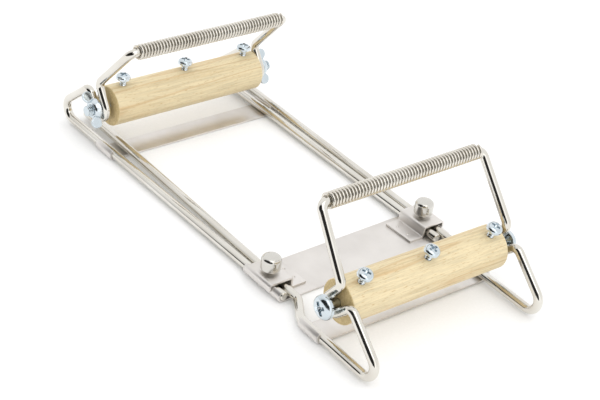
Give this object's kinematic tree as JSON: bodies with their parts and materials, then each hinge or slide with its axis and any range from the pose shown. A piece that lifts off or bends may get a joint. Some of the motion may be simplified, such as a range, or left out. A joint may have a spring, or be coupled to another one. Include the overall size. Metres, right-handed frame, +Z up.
{
  "type": "adjustable bead loom",
  "caption": "Adjustable bead weaving loom: two bent-wire end frames with wooden rollers and spring combs, sliding along paired rails held by thumbscrew clamps",
  "frame": {"origin": "centre of the clamp plate's underside, on the surface that the loom stands on", "axes": "+X along the far roller, +Y from the clamp plate towards the far roller, +Z up"},
  "size_m": [0.1105, 0.2311, 0.0612],
  "materials": {
    "wire": "bright nickel plate",
    "spring": "bright nickel plate",
    "sheet": "satin nickel plate",
    "knob": "polished nickel plate",
    "beech": "sanded, unvarnished beech",
    "zinc": "bluish bright zinc plate"
  },
  "bodies": {
    "far_frame": {"far_wire_frame": "wire", "far_spring": "spring", "far_strap": "sheet", "clamp_plate": "sheet", "left_clamp_bracket": "sheet", "right_clamp_bracket": "sheet"},
    "near_frame": {"near_wire_frame": "wire", "near_spring": "spring", "near_strap": "sheet"},
    "far_roller_set": {"far_roller": "beech", "far_tie_screw_left": "zinc", "far_tie_screw_middle": "zinc", "far_tie_screw_right": "zinc", "far_axle_stud_left": "zinc", "far_axle_stud_right": "zinc"},
    "far_wing_nut_left": {"far_wing_nut_left": "zinc"},
    "far_wing_nut_right": {"far_wing_nut_right": "zinc"},
    "near_roller_set": {"near_roller": "beech", "near_tie_screw_left": "zinc", "near_tie_screw_middle": "zinc", "near_tie_screw_right": "zinc", "near_axle_screw_left": "zinc", "near_axle_screw_right": "zinc"},
    "left_clamp_stud": {"left_clamp_stud": "knob"},
    "left_clamp_knob": {"left_clamp_knob": "knob"},
    "right_clamp_stud": {"right_clamp_stud": "knob"},
    "right_clamp_knob": {"right_clamp_knob": "knob"}
  },
  "joints": [
    {"name": "extension", "type": "slide", "parent": "far_frame", "child": "near_frame", "axis": [-0.0314, -0.9995, 0], "range_m": [0, 0.12]},
    {"name": "far_roller_turn", "type": "hinge", "parent": "far_frame", "child": "far_roller_set", "pos_m": [0, 0.1257, 0.0205], "axis": [1, 0, 0], "continuous": true},
    {"name": "far_wing_nut_left_turn", "type": "hinge", "parent": "far_roller_set", "child": "far_wing_nut_left", "pos_m": [0, 0.1257, 0.0205], "axis": [-1, 0, 0], "range_deg": [0, 180]},
    {"name": "far_wing_nut_right_turn", "type": "hinge", "parent": "far_roller_set", "child": "far_wing_nut_right", "pos_m": [0, 0.1257, 0.0205], "axis": [1, 0, 0], "range_deg": [0, 180]},
    {"name": "near_roller_turn", "type": "hinge", "parent": "near_frame", "child": "near_roller_set", "pos_m": [-0.0041, -0.0447, 0.0216], "axis": [0.9995, -0.0314, 0], "continuous": true},
    {"name": "left_clamp_lift", "type": "slide", "parent": "far_frame", "child": "left_clamp_stud", "axis": [0, 0, 1], "range_m": [0, 0.0021]},
    {"name": "left_clamp_turn", "type": "hinge", "parent": "left_clamp_stud", "child": "left_clamp_knob", "pos_m": [-0.04275, 0.001, 0.01], "axis": [0, 0, 1], "range_deg": [0, 1085]},
    {"name": "right_clamp_lift", "type": "slide", "parent": "far_frame", "child": "right_clamp_stud", "axis": [0, 0, 1], "range_m": [0, 0.0021]},
    {"name": "right_clamp_turn", "type": "hinge", "parent": "right_clamp_stud", "child": "right_clamp_knob", "pos_m": [0.04525, 0.001, 0.01], "axis": [0, 0, 1], "range_deg": [0, 1085]}
  ],
  "couplings": [
    {"joint": "left_clamp_turn", "follows": "left_clamp_lift", "rad_per_m": 8976},
    {"joint": "right_clamp_turn", "follows": "right_clamp_lift", "rad_per_m": 8976}
  ]
}
